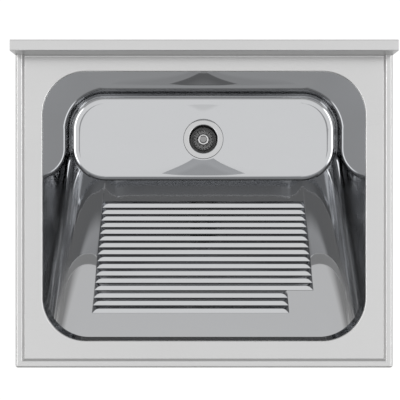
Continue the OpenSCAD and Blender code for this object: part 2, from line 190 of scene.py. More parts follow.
# %% Bowl: sizes
CORNER = 80.0 * MM
ROUND = 20.0 * MM
EDGE_DEPTH = 3.0 * MM
PAN_DROP = 2.5 * MM
DROP = 42.0 * MM
BOWL_DEPTH = 270.0 * MM
FLOOR_RUN = 187.6 * MM
SIDE_LEAN = math.tan(math.radians(0.7))
LEAN = math.tan(math.radians(0.4))
floor_z = deck_high.z - BOWL_DEPTH
front_z = deck_high.z - DROP
seam_z = deck_z - EDGE_DEPTH
floor_x = half_w - BOWL_DEPTH * SIDE_LEAN
floor_back = half_d - BOWL_DEPTH * LEAN
front_y = -half_d + DROP * LEAN
foot_y = floor_back - FLOOR_RUN
foot_z = floor_z + PAN_DROP
slope = math.atan((front_z - foot_z) / (foot_y - front_y))
bend_y = foot_y + ROUND * math.tan(slope / 2)
print("ramp slope, degrees:", round(math.degrees(slope), 1))

# %% Bowl: the rings
RING_SIDES = 128
ROUND_STEPS = 64


def ring(x, y, z):
    """A corner ring at the mouth or at the front drop."""
    let_go()
    bpy.ops.mesh.primitive_circle_add(vertices=RING_SIDES, radius=CORNER, location=(x, y, z))
    return named("ring")


def floor_ring(x, y):
    """A corner at the floor, with the floor's rounding round its outside."""
    let_go()
    bpy.ops.mesh.primitive_torus_add(
        location=(x, y, foot_z + ROUND), major_segments=RING_SIDES, minor_segments=ROUND_STEPS,
        major_radius=CORNER - ROUND, minor_radius=ROUND)
    return named("floor ring")


print("sides of a ring:", RING_SIDES)

# %% [markdown]
# The hull is closed, so its top is taken off. Doubled points are merged, flush faces are made
# one, and all are flipped, because the form is seen from inside.

# %% Bowl: the form
FLAT = math.radians(0.1)
cx, cy = half_w - CORNER, half_d - CORNER
rings = [ring(sx * cx, sy * cy, seam_z) for sx in (-1, 1) for sy in (-1, 1)]
rings += [ring(sx * (cx - DROP * SIDE_LEAN), front_y + CORNER, front_z) for sx in (-1, 1)]
low_x = floor_x - CORNER
rear_y, fore_y = floor_back - CORNER, bend_y + CORNER - ROUND
rings += [floor_ring(sx * low_x, y) for sx in (-1, 1) for y in (rear_y, fore_y)]
bowl = joined(rings, "bowl_polished")
bpy.ops.object.mode_set(mode="EDIT")
bpy.ops.mesh.select_all(action="SELECT")
bpy.ops.mesh.convex_hull(delete_unused=True, use_existing_faces=False, join_triangles=False)
let_go()
pick(bowl, "FACE", lambda c, n: n.z > SQUARE)
bpy.ops.mesh.delete(type="FACE")
bpy.ops.mesh.select_all(action="SELECT")
bpy.ops.mesh.remove_doubles(threshold=TOUCH)
bpy.ops.mesh.dissolve_limited(angle_limit=FLAT)
bpy.ops.mesh.select_all(action="SELECT")
bpy.ops.mesh.flip_normals()
let_go()
print("faces of the form:", len(bowl.data.polygons))

# %% [markdown]
# The real floor is pressed a little deeper than the ramp's foot, so at the front its rounding
# ends in a steeper lip against the ramp. It could be a second pressing with its own rings, but
# the seam would show in the mirror. So the points of the rounding are let down: all of them
# by the same drop at the walls, and towards the ramp less and less up to the lip.

# %% Bowl: the pressed pan
LIP_STEPS = 6
LIP_ANGLE = 2 * math.pi * LIP_STEPS / ROUND_STEPS
for point in bowl.data.vertices:
    rise = point.co.z - foot_z
    if rise < ROUND + TOUCH:
        turn = math.acos(min(1, max(0, 1 - rise / ROUND)))
        aside, ahead = abs(point.co.x) - low_x, fore_y - point.co.y
        reach = math.hypot(aside, ahead)
        front = (ahead / reach) ** 2 if ahead > 0 else 0
        point.co.z -= PAN_DROP * (1 - front * min(1, math.sin(turn) / math.sin(LIP_ANGLE)))
print("pan, mm below the ramp's foot:", PAN_DROP / MM)

# %% [markdown]
# The flat floor is one large face now. Its edge gets a fine level shelf, as the real floor
# has, which is wider at the left and right than at the rear. The long edges are divided first,
# because the straight lines from them to the drain would otherwise be too few.

# %% Bowl: the floor's edge
CREASE = 0.8 * MM
CREASE_DEPTH = 0.03 * MM
SIDE_SHELF = 2.6 * MM
LONG_EDGE = 200.0 * MM
LONG_CUTS = 60
LEVEL = 0.999
at_floor = lambda p: abs(p.z - floor_z) < TOUCH
pick(bowl, "EDGE", lambda a, b: at_floor(a) and at_floor(b) and (a - b).length > LONG_EDGE)
bpy.ops.mesh.subdivide(number_cuts=LONG_CUTS)
let_go()
found = pick(bowl, "FACE", lambda c, n: at_floor(c) and n.z > LEVEL)
bpy.ops.mesh.dissolve_faces()
bpy.ops.mesh.inset(thickness=CREASE, depth=-CREASE_DEPTH)
flat_x = low_x + CORNER - ROUND
bpy.ops.transform.resize(value=((flat_x - SIDE_SHELF) / flat_x, 1, 1))
bpy.ops.mesh.delete(type="ONLY_FACE")
let_go()
print("floor faces found:", found)

# %% [markdown]
# From the shelf the sheet falls to the seat of the waste in straight lines that all aim at the
# drain. A fan of faces could be drawn by hand, but it is quicker to extrude the edge, draw it
# round towards the drain's centre and lower it. The fall is steeper at the edge than at the
# drain, so the points between are let down a little.

# %% Bowl: the fall to the drain
SEAT_DROP = 2.5 * MM
SEAT_RING = 45.4 * MM
FALL_CUTS = 12
SAG = 0.20
drain_z = waste_high.z - SEAT_DROP
inner_z = floor_z - CREASE_DEPTH
fall = inner_z - drain_z
pick(bowl, "EDGE", lambda a, b: max(abs(a.z - inner_z), abs(b.z - inner_z)) < TOUCH)
extrude(0, 0, -fall)
let_go()
for point in bowl.data.vertices:
    if abs(point.co.z - drain_z) < TOUCH:
        reach = math.hypot(point.co.x, point.co.y - drain_y)
        point.co.x *= SEAT_RING / reach
        point.co.y = drain_y + (point.co.y - drain_y) * SEAT_RING / reach
falls = lambda a, b: abs(abs(a.z - b.z) - fall) < TOUCH
print("lines of the fall:", pick(bowl, "EDGE", lambda a, b: falls(a, b) and max(a.z, b.z) < floor_z))
bpy.ops.mesh.subdivide(number_cuts=FALL_CUTS)
let_go()
for point in bowl.data.vertices:
    part = (point.co.z - drain_z) / fall
    if TOUCH < part * fall < fall - TOUCH:
        point.co.z = drain_z + fall * part * (1 - SAG + SAG * part)

# %% [markdown]
# The lip that lies under the deck is drawn out of the mouth's edge, and the hole's edge is
# drawn inwards to the clamped rim of the drain hole. Then the sheet gets its thickness from a
# modifier, which keeps it the same everywhere, as it is on a real pressing.

# %% Bowl: lip, drain rim and sheet
HOLE_R = 32.8 * MM
pick(bowl, "EDGE", lambda a, b: min(a.z, b.z) > seam_z - TOUCH)
extrude(0, 0, 0)
bpy.ops.transform.resize(value=((half_w + BOWL_LIP) / half_w, (half_d + BOWL_LIP) / half_d, 1))
let_go()
pick(bowl, "EDGE", lambda a, b: max(abs(a.z - drain_z), abs(b.z - drain_z)) < TOUCH)
extrude(0, 0, 0)
bpy.ops.transform.resize(value=(HOLE_R / SEAT_RING, HOLE_R / SEAT_RING, 1))
let_go()
finish_with(bowl, "SOLIDIFY", thickness=BOWL_SHEET, offset=-1, use_even_offset=True)
print("bowl faces:", len(bowl.data.polygons))

# %% [markdown]
# ## Tools and outlines
# A box is the tool that cuts the large openings. Faces could be cut by hand instead, but an
# exact boolean does it at one go, as long as no face of one piece lies on the other. Sharp edges
# get a bevel, as bent and pressed sheet has none.

# %% Helpers for boxes and cuts
def block(name, low, high):
    """A box between two corners."""
    let_go()
    middle = [(a + b) / 2 for a, b in zip(low, high)]
    bpy.ops.mesh.primitive_cube_add(size=1, location=middle)
    bpy.context.object.scale = [b - a for a, b in zip(low, high)]
    return named(name)


def cut(piece, tool, operation="DIFFERENCE"):
    """Cut a piece with a tool, or join the tool to it, and remove the tool."""
    finish_with(piece, "BOOLEAN", object=tool, operation=operation, solver="EXACT")
    bpy.data.objects.remove(tool)


def bevelled(piece, test, radius, cuts):
    """Round the edges of a piece that pass the test, and say how many they are."""
    found = pick(piece, "EDGE", test)
    bpy.ops.mesh.bevel(offset=radius, segments=cuts, affect="EDGES")
    let_go()
    return found


print("a tool is removed once it has cut")

# %% [markdown]
# A profile is drawn as with a pencil: one point is extruded from place to place, and the line
# is then filled, extruded or spun. Where the ends of a spin meet, their points are merged.

# %% Helpers for outlines
MERGE = 0.002 * MM


def outward(piece):
    """Merge doubled points and turn every face outwards."""
    take(piece)
    bpy.ops.object.mode_set(mode="EDIT")
    bpy.ops.mesh.select_all(action="SELECT")
    bpy.ops.mesh.remove_doubles(threshold=MERGE)
    bpy.ops.mesh.normals_make_consistent(inside=False)
    let_go()
    return piece


def chain(name, points):
    """Draw a line through points by extruding one point, and leave it selected."""
    let_go()
    bpy.ops.mesh.primitive_plane_add(size=LONG, location=points[0])
    piece = named(name)
    bpy.ops.object.mode_set(mode="EDIT")
    bpy.ops.mesh.select_mode(type="VERT")
    bpy.ops.mesh.select_all(action="SELECT")
    bpy.ops.mesh.merge(type="CENTER")
    for here, there in zip(points, points[1:]):
        step = [b - a for a, b in zip(here, there)]
        bpy.ops.mesh.extrude_vertices_move(TRANSFORM_OT_translate={"value": step})
    bpy.ops.mesh.select_all(action="SELECT")
    return piece


print("points merge within, mm:", MERGE / MM)

# %% [markdown]
# ## The washboard
# The ribs are pressed steps: a nearly level tread that meets the next riser. Each could be a
# piece of its own, but then their feet would have to be welded one by one. So one saw-toothed
# strip is extruded across the ramp and both its ends are sliced off aslant, which gives each
# rib its small triangular end. A box with the same slant takes away its lower right corner,
# which the real sheet leaves bare.

# %% Washboard: sizes
RIBS = 16
SHORT_RIBS = 3
RIB_SETBACK = 41.3 * MM
RIB_FOOT = 50.7 * MM
RIB_SIDE = 81.5 * MM
RIB_CUT = 52.0 * MM
RIB_BEVEL = 9.0 * MM
RIB_ROUND = 4.0 * MM
ROUND_CUTS = 5
TREAD_PART = 0.61
TREAD_FALL = math.tan(math.radians(6))
VALLEY = 0.4 * MM
SINK = 0.6 * MM
SHORT_EASE = 0.2 * MM
first_y = -half_d + RIB_SETBACK
last_y = foot_y - RIB_FOOT
pitch = (last_y - first_y) / RIBS
tread = TREAD_PART * pitch
rib_x = half_w - RIB_SIDE
rib_rise = (tread * (math.tan(slope) - TREAD_FALL) + VALLEY) * math.cos(slope)
print("rib pitch, mm:", round(pitch / MM, 2), "rise, mm:", round(rib_rise / MM, 2))

# %% [markdown]
# The slices are slanted to the ramp and not to the floor. A slice opens the mesh, and its loose
# edges stay selected, so one face is drawn over them.

# %% Washboard: the slanted ends
def ramp_z(y):
    """Height of the ramp's plane."""
    return front_z - (y - front_y) * math.tan(slope)


def aslant(side, x, **keep):
    """Slice along the slanted end of the ribs at x, right (1) or left (-1), and close the slice."""
    length = math.hypot(RIB_BEVEL, rib_rise)
    out, up = rib_rise / length, RIB_BEVEL / length
    bpy.ops.mesh.select_all(action="SELECT")
    bpy.ops.mesh.bisect(
        plane_co=(x, front_y, front_z), plane_no=(side * out, up * math.sin(slope), up * math.cos(slope)),
        **keep)
    bpy.ops.mesh.edge_face_add()


print("slanted ends, mm long:", RIB_BEVEL / MM)

# %% [markdown]
# The strip's outline is drawn from the side. The box that takes the corner ends a little in
# front of the first long rib, so that none of its faces lies on an edge of the strip. The edges
# between treads and risers are rounded last, because a pressed sheet has no sharp folds.

# %% Washboard: the strip
RISER_SHARE = 0.3


def saw_strip():
    """A saw-toothed strip with slanted ends and without its lower right corner."""
    outline = []
    for k in range(RIBS):
        y = first_y + k * pitch
        outline += [(y, ramp_z(y) + VALLEY), (y + tread, ramp_z(y) + VALLEY - tread * TREAD_FALL)]
    outline += [(last_y, ramp_z(last_y) + VALLEY), (last_y, ramp_z(last_y) - SINK)]
    outline += [(first_y, ramp_z(first_y) - SINK)]
    strip = chain("ribs", [(-rib_x, y, z) for y, z in outline])
    bpy.ops.mesh.edge_face_add()
    extrude(2 * rib_x, 0, 0)
    for side in (-1, 1):
        aslant(side, side * rib_x, clear_outer=True)
    outward(strip)
    short_y = first_y + SHORT_RIBS * pitch - SHORT_EASE
    low_corner = (0, first_y - pitch, ramp_z(short_y) - pitch)
    corner = block("bare corner", low_corner, (half_w, short_y, front_z + pitch))
    bpy.ops.object.mode_set(mode="EDIT")
    aslant(1, rib_x - RIB_CUT, clear_inner=True)
    let_go()
    cut(strip, corner)
    riser = pitch - tread
    is_riser = lambda a, b: abs(abs(a.y - b.y) - riser) < RISER_SHARE * riser
    bevelled(strip, lambda a, b: is_riser(a, b) and abs(a.x - b.x) > LONG, RIB_ROUND, ROUND_CUTS)
    return strip


print("ribs:", RIBS, "of which short:", SHORT_RIBS)

# %% [markdown]
# The ribs could simply sit on the sheet, but then it would be thicker there. So one strip is
# joined to it from above, and the same strip, lowered by the sheet's thickness, is cut out of
# it from below. The sheet stays one thin pressing.

# %% Washboard: pressed into the bowl
def washboard(lower):
    """The strip of ribs, lowered square to the ramp."""
    strip = saw_strip()
    take(strip)
    bpy.ops.transform.translate(value=(0, -lower * math.sin(slope), -lower * math.cos(slope)))
    bpy.ops.object.transform_apply(location=True, rotation=True, scale=True)
    return strip


cut(bowl, washboard(0), "UNION")
cut(bowl, washboard(BOWL_SHEET), "DIFFERENCE")
print("bowl faces with the ribs:", len(bowl.data.polygons))

# %% [markdown]
# A piece of two finishes could be two pieces, but a real pressing is one. So its faces go to
# material slots, each by a test. Smooth shading hides the facets of a bend.

# %% Helpers for slots and shading
CREASE_ANGLE = 35
FACE_WEIGHT = 50


def part_slots(piece, *tests):
    """Give a piece one more material slot for each test, with the faces that pass it."""
    piece.data.materials.clear()
    piece.data.materials.append(None)
    counts = []
    for slot, test in enumerate(tests, 1):
        piece.data.materials.append(None)
        counts.append(pick(piece, "FACE", test))
        piece.active_material_index = slot
        bpy.ops.object.material_slot_assign()
        let_go()
    return counts


def smooth(piece, degrees=CREASE_ANGLE):
    """Shade a piece smooth where its faces meet at less than this angle."""
    take(piece)
    bpy.ops.object.shade_smooth_by_angle(angle=math.radians(degrees))
    return piece


def weighted(piece):
    """Turn a piece's normals towards its large faces."""
    finish_with(piece, "WEIGHTED_NORMAL", keep_sharp=True, weight=FACE_WEIGHT)


print("facets blend below, degrees:", CREASE_ANGLE)

# %% [markdown]
# The risers of the ribs and the lip between ramp and floor get a darker grey, a painted shade
# for these deep faces, and the risers a rougher polish too. They could be painted with a mask in the
# material, but their faces are easy to pick by height and direction. So each gets a material slot
# of its own, filled further below. Weighted normals then keep the large flat faces flat in the
# mirror, right up to their bends.

# %% Bowl: slots and shading
BOWL_CREASE_ANGLE = 24
LIP_BAND = (0.8 * MM, 3.4 * MM)
LIP_FACING = (0.5, 0.95)
RISER_AHEAD = (0.78, 0.95)
RISER_UP = (0.3, 0.62)


def within(value, band):
    """Whether a value lies between the two ends of a band."""
    return band[0] < value < band[1]


rib_band = (first_y - LONG, last_y + LONG)
on_ribs = lambda c: abs(c.x) < rib_x and within(c.y, rib_band)
riser = lambda c, n: within(n.y, RISER_AHEAD) and within(n.z, RISER_UP) and on_ribs(c)
lip = lambda c, n: c.y < fore_y and within(n.z, LIP_FACING) and within(c.z - foot_z, LIP_BAND)
# The riser and lip slots take darker greys, painted shade.
print("riser and lip faces:", part_slots(bowl, riser, lip))
weighted(smooth(bowl, BOWL_CREASE_ANGLE))
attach(bowl, "sink")
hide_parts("bowl")

# %% [markdown]
# ## The deck
# The deck is folded: a raised rim on three sides, a skirt and a return flange below. It is
# made as a fold would be, from the outer skin of a box. A bevel could round the rim, but the
# real one rolls down to the deck in a soft S. So the top is inset step by step along a profile
# with a bend at both ends. The bottom is inset once and opened. The box is made too long at
# the rear and sliced off at the wall, so that the rim runs round three sides only.

# %% Deck: the folded sheet
OUTER_BEND = 5.0 * MM
BEND_CUTS = 6
EXTRA = 30.0 * MM
ROLL = 5.0 * MM
ROLL_STEEP = 43
ROLL_STEPS = 8
HOLLOW = 2.0 * MM
HOLLOW_STEPS = 5
ARC_STEPS = 6


def arc(centre_r, centre_z, radius, start, end, steps=ARC_STEPS):
    """Points of a round corner in a profile, from one angle to another in degrees."""
    angles = [math.radians(start + (end - start) * i / steps) for i in range(steps + 1)]
    return [(centre_r + radius * math.cos(a), centre_z + radius * math.sin(a)) for a in angles]


steep = math.radians(ROLL_STEEP)
slide = RIM_STEP - (ROLL + HOLLOW) * (1 - math.cos(steep))
width = (ROLL + HOLLOW) * math.sin(steep) + slide / math.tan(steep)
rim = [(0, deck_high.z)]
rim += arc(RIM_WIDTH - width, deck_high.z - ROLL, ROLL, 90, 90 - ROLL_STEEP, ROLL_STEPS)
rim += arc(RIM_WIDTH, deck_z + HOLLOW, HOLLOW, -90 - ROLL_STEEP, -90, HOLLOW_STEPS)
deck = block("deck_folded", deck_low, (deck_high.x, deck_high.y + EXTRA, deck_high.z))
pick(deck, "FACE", lambda c, n: n.z > SQUARE)
for here, there in zip(rim, rim[1:]):
    bpy.ops.mesh.inset(thickness=there[0] - here[0], depth=there[1] - here[1])
let_go()
pick(deck, "FACE", lambda c, n: n.z < -SQUARE)
bpy.ops.mesh.inset(thickness=RETURN_FLANGE, depth=0)
bpy.ops.mesh.delete(type="FACE")
bpy.ops.mesh.select_all(action="SELECT")
bpy.ops.mesh.bisect(plane_co=(0, deck_high.y, 0), plane_no=(0, 1, 0), clear_outer=True, use_fill=False)
let_go()
outer = lambda p: abs(abs(p.x) - deck_high.x) < TOUCH or abs(p.y - deck_low.y) < TOUCH
fold = lambda a, b: outer(a) and outer(b) and (a - b).length > CLOSE
ahead = lambda a, b: min(a.y, b.y) < deck_high.y - CLOSE
bevelled(deck, lambda a, b: fold(a, b) and ahead(a, b), OUTER_BEND, BEND_CUTS)
finish_with(deck, "SOLIDIFY", thickness=SHEET, offset=-1, use_even_offset=True)
print("rim profile points:", len(rim), "roll, mm wide:", round(width / MM, 1))

# %% [markdown]
# The mouth's edge is turned down softly towards the bowl and looks thicker than the sheet,
# because a strip lies under it. A box with four rounded edges serves twice: a little wider it
# is joined on as the strip, and at the mouth's own size it cuts the opening.

# %% Deck: the mouth
EDGE_STRIP = 4.0 * MM
HOLE_EDGE = 2.9 * MM
MOUTH_REACH = 10.0 * MM
MOUTH_CUTS = 32


def rounded_block(name, x, y, radius, low, high):
    """A box whose four upright edges are rounded."""
    piece = block(name, (-x, -y, low), (x, y, high))
    bevelled(piece, lambda a, b: abs(a.x - b.x) + abs(a.y - b.y) < TOUCH, radius, MOUTH_CUTS)
    return piece


strip = (half_w + EDGE_STRIP, half_d + EDGE_STRIP, CORNER + EDGE_STRIP)
cut(deck, rounded_block("edge strip", *strip, deck_z - EDGE_DEPTH, deck_z - SHEET / 2), "UNION")
cut(deck, rounded_block("mouth", half_w, half_d, CORNER, deck_z - MOUTH_REACH, deck_z + MOUTH_REACH))
at_mouth = lambda p: abs(p.x) < half_w + CLOSE and abs(p.y) < half_d + CLOSE and abs(p.z - deck_z) < TOUCH
found = bevelled(deck, lambda a, b: at_mouth(a) and at_mouth(b), HOLE_EDGE, BEND_CUTS)
print("mouth edges:", found)

# %% [markdown]
# Four screws hold the sink to its cabinet, through holes in the return flange. The record of
# the solid model says where they are, so the holes follow it.

# %% Deck: fixing holes
HOLE_REACH = 5.0 * MM
HOLE_SIDES = 24


def rod(name, radius, low, high, sides, x, y):
    """An upright cylinder from height low to height high."""
    let_go()
    bpy.ops.mesh.primitive_cylinder_add(
        vertices=sides, radius=radius, depth=high - low, location=(x, y, (low + high) / 2))
    return named(name)


fixings = frame["record"]["mounts"][0]["dims"]
fix_x, fix_y = fixings["spacing_x_mm"] * MM / 2, fixings["spacing_y_mm"] * MM / 2
fix_r = fixings["hole_r_mm"] * MM
for sx in (-1, 1):
    for sy in (-1, 1):
        cut(deck, rod("screw hole", fix_r, -HOLE_REACH, HOLE_REACH, HOLE_SIDES, sx * fix_x, sy * fix_y))
weighted(smooth(deck))
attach(deck, "sink")
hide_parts("deck_panel")
print("deck faces:", len(deck.data.polygons))

# %% [markdown]
# ## The splashback
# It is a folded strip: up at the front, level at the top and down along the wall. The front
# foot meets the deck in a small hollow bend. It could be drawn as a profile, but the outer
# skin of a box without its ends is already the right fold and only needs its bends.

# %% Splashback
SPLASH_BEND = 2.0 * MM
SPLASH_CUTS = 5
FOOT = 2.1 * MM
SEAT_GAP = 0.03 * MM
seat_z = deck_z + SEAT_GAP
splash = block("splashback_folded", splash_low, splash_high)
pick(splash, "FACE", lambda c, n: abs(n.x) > SQUARE or n.z < -SQUARE)
bpy.ops.mesh.delete(type="FACE")
bpy.ops.mesh.select_all(action="SELECT")
bpy.ops.mesh.bisect(plane_co=(0, 0, seat_z), plane_no=(0, 0, 1), use_fill=False)
let_go()
pick(splash, "FACE", lambda c, n: n.y < -SQUARE and c.z < seat_z)
bpy.ops.mesh.delete(type="FACE")
let_go()
front_foot = lambda p: abs(p.y - splash_low.y) < TOUCH and abs(p.z - seat_z) < TOUCH
pick(splash, "EDGE", lambda a, b: front_foot(a) and front_foot(b))
extrude(0, -FOOT, 0)
let_go()
bend = lambda p: front_foot(p) or p.z > splash_high.z - TOUCH
across = lambda a, b: abs(a.x - b.x) > LONG
bevelled(splash, lambda a, b: bend(a) and bend(b) and across(a, b), SPLASH_BEND, SPLASH_CUTS)
finish_with(splash, "SOLIDIFY", thickness=SHEET, offset=-1, use_even_offset=True)
smooth(splash)
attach(splash, "sink")
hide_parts("splashback")
print("splashback faces:", len(splash.data.polygons))

# %% [markdown]
# Two end plates close the fold. They are the same piece, so one is made with its two upper
# corners rounded like the fold, and copied to the other side.

# %% Splashback: end plates
cap = block("end_plate_right", cap_low, cap_high)
upper = lambda a, b: min(a.z, b.z) > cap_high.z - TOUCH and abs(a.x - b.x) > CLOSE
bevelled(cap, upper, SPLASH_BEND, SPLASH_CUTS)
smooth(cap)
bpy.ops.object.duplicate()
other = bpy.context.object
other.name = "end_plate_left"
other.data.name = "end_plate_left"
bpy.ops.transform.translate(value=(SHEET - 2 * cap_high.x, 0, 0))
bpy.ops.object.transform_apply(location=True, rotation=True, scale=True)
for piece, node in ((cap, "end_cap_right"), (other, "end_cap_left")):
    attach(piece, "sink")
    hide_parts(node)
print("end plates:", cap.name, other.name)

# %% [markdown]
# ## The waste
# The flange, cup and threaded outlet of the waste are round. Each could be a cylinder cut by
# others, but a real one is pressed and turned, so a single profile is spun about the drain's
# axis, with its edges softened the way a polished pressing is.

# %% Helpers for turned pieces
TURNED_STEPS = 96


def turned(name, profile, steps=TURNED_STEPS):
    """Spin a profile of (radius, height) points about the drain's axis."""
    piece = chain(name, [(r, drain_y, z) for r, z in profile])
    bpy.ops.mesh.spin(steps=steps, angle=2 * math.pi, center=(0, drain_y, 0), axis=(0, 0, 1))
    return outward(piece)


def off_axis(c):
    """Distance of a place from the drain's axis."""
    return math.hypot(c.x, c.y - drain_y)


print("the drain's axis, mm behind the middle:", round(drain_y / MM, 1))

# %% [markdown]
# The profile of the waste goes over the flange, down the outside with its thread, and up again
# inside. The flange's outer edge gets a slot of its own, for a dark grey that paints the fine
# shadow line round the flange.

# %% Waste body
FLANGE_T = 1.5 * MM
FLANGE_STEPS = 5
CUP_WALL = 1.2 * MM
CUP_R = 31.3 * MM
CUP_DEPTH = 36.0 * MM
OUTLET_R = 19.0 * MM
OUTLET_OUT = 22.5 * MM
SOFT = 2.5 * MM
# Width of the painted shadow line at the flange's edge.
FLANGE_SHADOW_WIDTH = 1.0 * MM
TURNS = 8
THREAD_PITCH = 2.0 * MM
THREAD_DEPTH = 0.6 * MM
THREAD_START = 3.0 * MM
WASTE_STEPS = 128
flange_r = (waste_high.x - waste_low.x) / 2
top = waste_high.z
cup_z = top - CUP_DEPTH
profile = arc(CUP_R + SOFT, top - SOFT, SOFT, 180, 90)
profile += arc(flange_r - FLANGE_T, top - FLANGE_T, FLANGE_T, 90, 0, FLANGE_STEPS)
profile += [(CUP_R + CUP_WALL, top - FLANGE_T), (CUP_R + CUP_WALL, cup_z - CUP_WALL)]
profile += [(OUTLET_OUT, cup_z - CUP_WALL)]
for i in range(TURNS):
    z = cup_z - CUP_WALL - THREAD_START - i * THREAD_PITCH
    profile += [(OUTLET_OUT, z), (OUTLET_OUT - THREAD_DEPTH, z - THREAD_PITCH / 2)]
profile += [(OUTLET_OUT, waste_low.z), (OUTLET_R, waste_low.z), (OUTLET_R, cup_z)]
profile += arc(CUP_R - SOFT, cup_z + SOFT, SOFT, -90, 0)
profile += [profile[0]]
waste = smooth(turned("waste_polished", profile, WASTE_STEPS))
# The flange edge's slot takes a dark grey, a painted shadow line.
print("flange edge faces:", part_slots(waste, lambda c, n: off_axis(c) > flange_r - FLANGE_SHADOW_WIDTH))
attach(waste, "sink")
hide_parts("waste_body")

# %% [markdown]
# The strainer basket is a small pressed cup. Its floor is drilled with two rings of holes.
# Drilling them one after another would take thirty booleans, so thirty thin rods are joined
# into one tool that does it at one go.

# %% Strainer basket
BASKET_SHEET = 1.0 * MM
BASKET_BEND = 3.0 * MM
STEM_HOLE = 3.05 * MM
WASHER_R = 7.0 * MM
HOLES = 20
HOLE_D = 3.0 * MM
RING_SHIFT = 0.5 * MM
HALF_STEP = 0.5
DRILL_REACH = 2.0 * MM
DRILL_SIDES = 16
basket_r = (basket_high.x - basket_low.x) / 2
low, high = basket_low.z, basket_high.z
edge = BASKET_SHEET / 2
profile = [(STEM_HOLE, low)] + arc(basket_r - BASKET_BEND, low + BASKET_BEND, BASKET_BEND, -90, 0)
profile += arc(basket_r - edge, high - edge, edge, 0, 180)
profile += arc(basket_r - BASKET_BEND, low + BASKET_BEND, BASKET_BEND - BASKET_SHEET, 0, -90)
profile += [(STEM_HOLE, low + BASKET_SHEET), (STEM_HOLE, low)]
basket = turned("basket_pressed", profile)
outer_ring = basket_r - BASKET_SHEET - HOLE_D
inner_ring = (outer_ring + WASHER_R) / 2 + RING_SHIFT
drills = []
for count, radius, offset in ((HOLES, outer_ring, 0), (HOLES // 2, inner_ring, HALF_STEP)):
    for k in range(count):
        a = 2 * math.pi * (k + offset) / count
        x, y = radius * math.cos(a), drain_y + radius * math.sin(a)
        drills.append(rod("drill", HOLE_D / 2, low - DRILL_REACH, low + DRILL_REACH, DRILL_SIDES, x, y))
cut(basket, joined(drills, "drills"))
smooth(basket)
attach(basket, "basket")
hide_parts("strainer_basket")
print("basket faces:", len(basket.data.polygons))

# %% [markdown]
# The knob is a turned button with a round edge and a hollow in its top for the fingertips. Like
# the waste it is spun from a profile. The hollow's faces get a slot for a darker grey, painted
# shade in the hollow, and a rougher finish.

# %% Knob
KNOB_FOOT = 2.0 * MM
EDGE_R = 2.2 * MM
DISH_R = 8.0 * MM
DISH = 3.0 * MM
DISH_LIP = 1.2 * MM
DISH_BEND = 2.0 * MM
KNOB_CREASE_ANGLE = 40
knob_r = (knob_high.x - knob_low.x) / 2
low, high = knob_low.z, knob_high.z
profile = [(0, low)] + arc(knob_r - KNOB_FOOT, low + KNOB_FOOT, KNOB_FOOT, -90, 0)
profile += arc(knob_r - EDGE_R, high - EDGE_R, EDGE_R, 0, 90)
profile += arc(DISH_R + DISH_LIP, high - DISH_LIP, DISH_LIP, 90, 180)
profile += arc(DISH_R - DISH_BEND, high - DISH + DISH_BEND, DISH_BEND, 0, -90)
profile += [(0, high - DISH)]
knob = smooth(turned("knob_turned", profile), KNOB_CREASE_ANGLE)
# The hollow's slot takes a darker grey, painted shade.
part_slots(knob, lambda c, n: off_axis(c) < DISH_R and c.z > (low + high) / 2)
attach(knob, "stem")
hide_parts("knob")
print("knob radius, mm:", round(knob_r / MM, 1))

# %% [markdown]
# ## Materials
# Shader maths could be wired up node by node, but it is hard to read back. So a small class
# wraps a socket, and arithmetic on it adds the Math nodes. Any other node comes from one method
# that takes its type, its settings and the values of its sockets.

# %% Shader arithmetic
class Flow:
    """A number that runs through a material. Arithmetic on it adds Math nodes."""

    def __init__(self, graph, socket):
        self.graph, self.socket = graph, socket

    def _math(self, operation, a, b):
        return self.graph.node("ShaderNodeMath", {"operation": operation}, {0: a, 1: b})

    def __add__(self, other):
        return self._math("ADD", self, other)

    __radd__ = __add__

    def __mul__(self, other):
        return self._math("MULTIPLY", self, other)

    __rmul__ = __mul__

    def __sub__(self, other):
        return self._math("SUBTRACT", self, other)

    def __rsub__(self, other):
        return self._math("SUBTRACT", other, self)


print("a flow can be added, multiplied and subtracted")

# %% [markdown]
# The graph knows how to add a node, and has a short name for each pattern that the finishes
# share: a noise, a colour between two colours, one part of a vector, a soft step and a ramp.

# %% Shader nodes
MIX_AMOUNT, MIX_DARK, MIX_LIGHT, MIX_RESULT = 0, 6, 7, 2
EVEN = (1, 1, 1)


